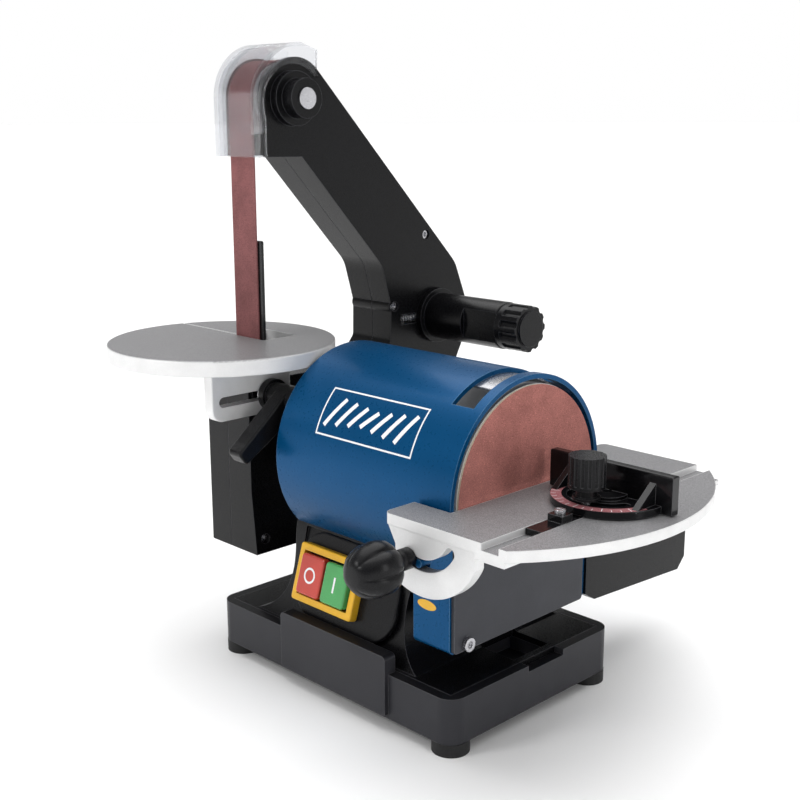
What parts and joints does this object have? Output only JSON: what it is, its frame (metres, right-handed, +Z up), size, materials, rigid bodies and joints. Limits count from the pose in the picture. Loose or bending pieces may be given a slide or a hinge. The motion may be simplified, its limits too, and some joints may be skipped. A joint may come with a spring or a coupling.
{
  "type": "bench belt and disc sander",
  "caption": "Bench-top sander with a narrow upright abrasive belt on a cranked arm, a tilting round belt table, and a sanding disc with a tilting table and miter gauge.",
  "frame": {"origin": "on the bench surface, under the middle of the whole machine's box", "axes": "+Z up, +X from the belt side to the disc side along the motor shaft, +Y to the rear, away from the switch"},
  "size_m": [0.412, 0.311, 0.4115],
  "materials": {
    "base_plastic": "satin",
    "black_plastic": "satin",
    "knob_plastic": "satin",
    "black_cast": "gloss",
    "rubber": "matt",
    "switch_yellow": "gloss",
    "button_red": "gloss",
    "button_green": "gloss",
    "blue_paint": "gloss",
    "grey_paint": "satin",
    "cast_aluminium": "satin",
    "clear_guard": "gloss",
    "belt_abrasive": "matt",
    "disc_abrasive": "matt",
    "copper": "enamelled",
    "lamination": "satin",
    "capacitor_case": "satin",
    "bright_steel": "satin"
  },
  "bodies": {
    "machine": {"base": "base_plastic", "rubber_feet": "rubber", "pedestal": "black_plastic", "pedestal_screws": "bright_steel", "switch_plate": "knob_plastic", "switch_frame": "switch_yellow", "switch_module": "knob_plastic", "motor_capacitor": "capacitor_case", "cable_gland": "knob_plastic", "motor_housing": "blue_paint", "belt_side_shield": "black_plastic", "disc_side_shield": "cast_aluminium", "motor_bearings": "bright_steel", "stator_core": "lamination", "stator_windings": "copper", "hood_liner": "bright_steel", "lower_cover": "grey_paint", "lower_cover_screw": "bright_steel", "dust_chute": "black_plastic", "belt_housing": "black_plastic", "belt_cover": "black_plastic", "housing_screws": "bright_steel", "abrasive_belt": "belt_abrasive", "platen": "black_cast", "belt_guard": "clear_guard", "top_axle": "bright_steel", "table_supports": "blue_paint", "tension_spring": "bright_steel"},
    "spindle": {"motor_shaft": "bright_steel", "rotor": "lamination", "cooling_fan": "knob_plastic", "drive_wheel": "cast_aluminium", "disc_plate": "cast_aluminium", "abrasive_disc": "disc_abrasive", "disc_grub_screw": "bright_steel"},
    "upper_wheel": {"top_wheel": "cast_aluminium", "top_wheel_bearing": "bright_steel"},
    "tensioner": {"tension_block": "black_plastic"},
    "tracking_axle": {"rear_axle": "bright_steel"},
    "tension_wheel": {"rear_wheel": "cast_aluminium", "rear_wheel_bearing": "bright_steel"},
    "tracking_adjuster": {"tracking_knob": "knob_plastic"},
    "clamp_pivot": {"clamp_washer": "bright_steel"},
    "tilting_belt_table": {"belt_table": "cast_aluminium", "belt_table_bracket": "cast_aluminium", "bracket_screws": "bright_steel"},
    "clamp_handle": {"clamp_lever": "knob_plastic", "clamp_stud": "bright_steel"},
    "tilting_disc_table": {"disc_table": "cast_aluminium", "table_trunnions": "cast_aluminium", "trunnion_screws": "bright_steel"},
    "disc_table_lock": {"table_lock_knob": "knob_plastic", "lock_bolt": "bright_steel"},
    "miter_gauge": {"miter_bar": "black_cast", "pointer_screw": "bright_steel", "miter_stud": "bright_steel"},
    "gauge_head": {"miter_head": "black_cast"},
    "gauge_lock": {"miter_knob": "knob_plastic"},
    "stop_button": {"red_button": "button_red"},
    "start_button": {"green_button": "button_green"}
  },
  "joints": [
    {"name": "spindle_spin", "type": "hinge", "parent": "machine", "child": "spindle", "pos_m": [0.0082, -0.0185, 0.1473], "axis": [1, 0, 0], "continuous": true},
    {"name": "top_wheel_spin", "type": "hinge", "parent": "machine", "child": "upper_wheel", "pos_m": [-0.1198, -0.0257, 0.375], "axis": [1, 0, 0], "continuous": true},
    {"name": "belt_tension", "type": "slide", "parent": "machine", "child": "tensioner", "axis": [0, -1, 0], "range_m": [0, 0.006], "stiffness_N_per_m": 1500, "springref_m": -0.008, "deforming": ["tension_spring"]},
    {"name": "tracking_tilt", "type": "hinge", "parent": "tensioner", "child": "tracking_axle", "pos_m": [-0.0968, 0.1137, 0.213], "axis": [0, 0, 1], "range_deg": [-0.3, 0.3]},
    {"name": "rear_wheel_spin", "type": "hinge", "parent": "tracking_axle", "child": "tension_wheel", "pos_m": [-0.1198, 0.1137, 0.213], "axis": [1, 0, 0], "continuous": true},
    {"name": "tracking_turn", "type": "hinge", "parent": "tensioner", "child": "tracking_adjuster", "pos_m": [-0.0218, 0.1137, 0.213], "axis": [1, 0, 0], "range_deg": [-180, 180]},
    {"name": "belt_table_tilt", "type": "hinge", "parent": "machine", "child": "clamp_pivot", "pos_m": [-0.0818, -0.0635, 0.181], "axis": [1, 0, 0], "range_deg": [0, 45]},
    {"name": "belt_table_shift", "type": "slide", "parent": "clamp_pivot", "child": "tilting_belt_table", "axis": [0, 1, 0], "range_m": [0, 0.0175]},
    {"name": "clamp_lever_turn", "type": "hinge", "parent": "machine", "child": "clamp_handle", "pos_m": [-0.0478, -0.0635, 0.181], "axis": [1, 0, 0], "range_deg": [-10, 40]},
    {"name": "disc_table_tilt", "type": "hinge", "parent": "machine", "child": "tilting_disc_table", "pos_m": [0.1107, -0.0185, 0.148], "axis": [0, 1, 0], "range_deg": [0, 45]},
    {"name": "table_lock_turn", "type": "hinge", "parent": "machine", "child": "disc_table_lock", "pos_m": [0.10113, -0.1555, 0.12545], "axis": [0, 1, 0], "range_deg": [-180, 180]},
    {"name": "miter_slide", "type": "slide", "parent": "tilting_disc_table", "child": "miter_gauge", "axis": [0, 1, 0], "range_m": [-0.03, 0.05]},
    {"name": "miter_swivel", "type": "hinge", "parent": "miter_gauge", "child": "gauge_head", "pos_m": [0.1612, -0.0125, 0.1487], "axis": [0, 0, 1], "range_deg": [-60, 60]},
    {"name": "miter_lock_turn", "type": "hinge", "parent": "miter_gauge", "child": "gauge_lock", "pos_m": [0.1612, -0.0325, 0.162], "axis": [0, 0, 1], "range_deg": [-180, 180]},
    {"name": "stop_press", "type": "slide", "parent": "machine", "child": "stop_button", "axis": [0, 0.9578, -0.2874], "range_m": [0, 0.0028], "stiffness_N_per_m": 400, "springref_m": -0.001},
    {"name": "start_press", "type": "slide", "parent": "machine", "child": "start_button", "axis": [0, 0.9578, -0.2874], "range_m": [0, 0.0028], "stiffness_N_per_m": 400, "springref_m": -0.001}
  ],
  "couplings": [
    {"joint": "top_wheel_spin", "follows": "spindle_spin", "ratio": 1.2963},
    {"joint": "rear_wheel_spin", "follows": "spindle_spin", "ratio": 1.1667},
    {"joint": "tracking_tilt", "follows": "tracking_turn", "ratio": 0.0016667},
    {"joint": "belt_table_shift", "follows": "belt_table_tilt", "m_per_rad": 0.022}
  ]
}
